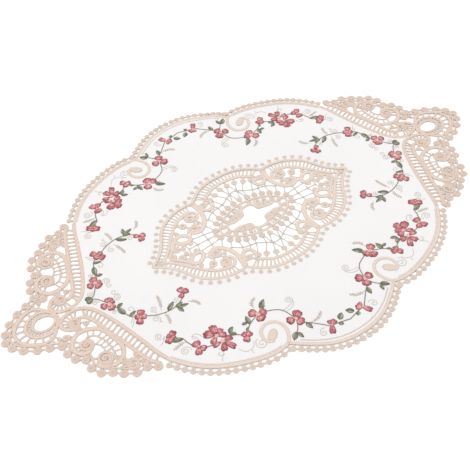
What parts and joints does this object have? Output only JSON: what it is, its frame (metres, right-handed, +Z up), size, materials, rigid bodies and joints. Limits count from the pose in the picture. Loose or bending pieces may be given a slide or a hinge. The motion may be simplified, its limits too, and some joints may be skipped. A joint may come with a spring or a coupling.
{
  "type": "lace doily",
  "caption": "Flat oval lace doily: white scalloped ground cloth with a lace medallion, picot edging, wide lace ends and rose garlands.",
  "frame": {"origin": "middle of the underside, on the surface the doily lies on", "axes": "+X along the doily's long axis, +Y across it, +Z up"},
  "size_m": [0.5582, 0.3684, 0.002],
  "materials": {
    "cloth": "fine plain-woven white cloth, matt",
    "lace": "beige satin-stitched guipure lace, soft sheen",
    "rose_thread": "rose-red embroidery thread, satin stitch",
    "leaf_thread": "grey-green embroidery thread, satin stitch"
  },
  "bodies": {
    "root": {"ground_cloth": "cloth", "medallion_lace": "lace", "edging_back": "lace", "edging_front": "lace", "end_lace_left": "lace", "end_lace_right": "lace"}
  },
  "joints": []
}
